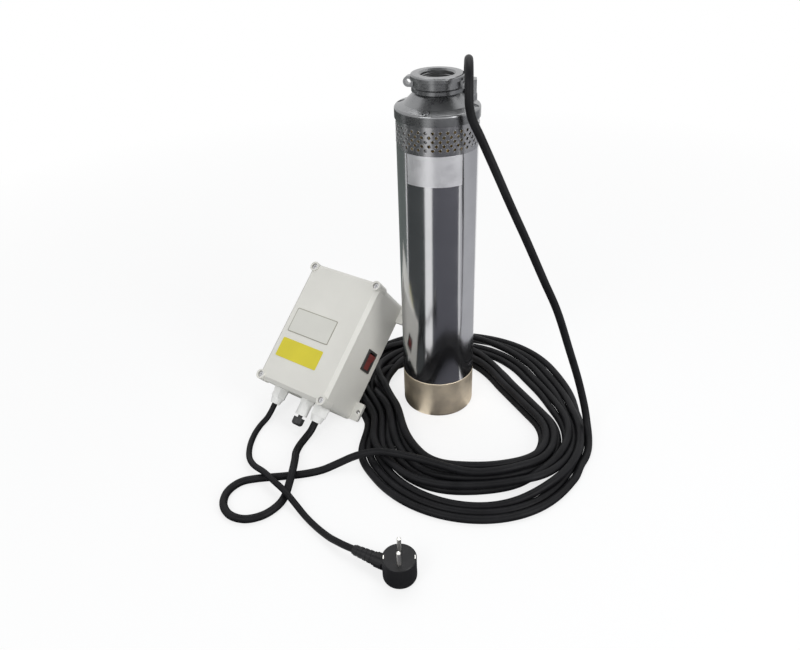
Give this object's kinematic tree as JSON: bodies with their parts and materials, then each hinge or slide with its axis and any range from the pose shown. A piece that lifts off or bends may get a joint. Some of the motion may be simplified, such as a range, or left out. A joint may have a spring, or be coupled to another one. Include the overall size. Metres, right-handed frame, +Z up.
{
  "type": "borehole submersible pump",
  "caption": "Slim upright borehole pump with motor, strainer and threaded outlet, wired by a coiled cable to a leaning switch box with a mains lead",
  "frame": {"origin": "centre of the pump's flat base, on the floor", "axes": "+Z up along the pump's axis to its outlet, +X to the right in the picture, +Y away from the viewer"},
  "size_m": [0.4815, 0.478, 0.481],
  "materials": {
    "polished_steel": "polished stainless steel tube with a faint drawn grain",
    "warm_brass": "dull machined brass with a warm tone",
    "cast_head": "cast and turned grey metal",
    "brass_wheel": "milled brass",
    "steel_part": "turned bright steel",
    "core_steel": "stacked dark steel sheets",
    "end_ring_metal": "cast aluminium",
    "copper_winding": "varnished copper wire",
    "black_rubber": "black moulded rubber",
    "ceramic_white": "lapped white ceramic",
    "carbon_grey": "lapped carbon",
    "box_plastic": "off-white moulded plastic",
    "white_plastic": "white moulded plastic",
    "dark_plastic": "black moulded plastic",
    "red_plastic": "dark red moulded plastic",
    "cable_black": "smooth black cable sheath",
    "plug_metal": "nickel-plated metal"
  },
  "bodies": {
    "pump": {"bottom_cap": "warm_brass", "motor_shell": "polished_steel", "motor_top_bracket": "polished_steel", "oil_chamber": "polished_steel", "suction_strainer": "polished_steel", "discharge_head": "cast_head", "outlet_collar": "cast_head", "gland_nut": "cast_head", "gland_bush": "black_rubber", "head_screws": "steel_part", "chamber_body": "brass_wheel", "chamber_cover": "brass_wheel", "stator_core": "core_steel", "stator_windings": "copper_winding", "upper_bearing_outer": "steel_part", "lower_bearing_outer": "steel_part", "seal_seat": "ceramic_white", "shell_seal_rings": "black_rubber", "head_seal_ring": "black_rubber", "motor_lead": "cable_black", "box_base": "box_plastic", "box_lid": "box_plastic", "lid_gasket": "black_rubber", "lid_screws": "steel_part", "capacitor": "white_plastic", "capacitor_clamp": "steel_part", "terminal_block": "white_plastic", "terminal_screws": "brass_wheel", "overload_body": "dark_plastic", "overload_nut": "white_plastic", "switch_frame": "dark_plastic", "power_gland_body": "white_plastic", "power_gland_nut": "white_plastic", "power_gland_locknut": "white_plastic", "motor_gland_body": "white_plastic", "motor_gland_nut": "white_plastic", "motor_gland_locknut": "white_plastic", "motor_cable_drop": "cable_black", "motor_cable_coil": "cable_black", "motor_cable_tail": "cable_black", "power_cord": "cable_black", "plug_body": "cable_black", "plug_strain_relief": "cable_black", "plug_pins": "plug_metal", "plug_earth_clips": "plug_metal"},
    "rotor": {"shaft": "steel_part", "rotor_core": "core_steel", "rotor_end_rings": "end_ring_metal", "impeller": "brass_wheel", "impeller_nut": "steel_part", "upper_bearing_inner": "steel_part", "lower_bearing_inner": "steel_part", "seal_ring": "carbon_grey", "seal_bellows": "black_rubber"},
    "rocker": {"switch_rocker": "red_plastic"},
    "reset": {"reset_button": "black_rubber"}
  },
  "joints": [
    {"name": "rotor_spin", "type": "hinge", "parent": "pump", "child": "rotor", "pos_m": [0, 0, 0.2], "axis": [0, 0, 1], "continuous": true},
    {"name": "switch_rock", "type": "hinge", "parent": "pump", "child": "rocker", "pos_m": [-0.10182, -0.00856, 0.07315], "axis": [-0.3778, -0.52, 0.766], "range_deg": [0, 22]},
    {"name": "reset_press", "type": "slide", "parent": "pump", "child": "reset", "axis": [0.4503, 0.6197, 0.6428], "range_m": [0, 0.003], "stiffness_N_per_m": 400, "springref_m": -0.002}
  ]
}
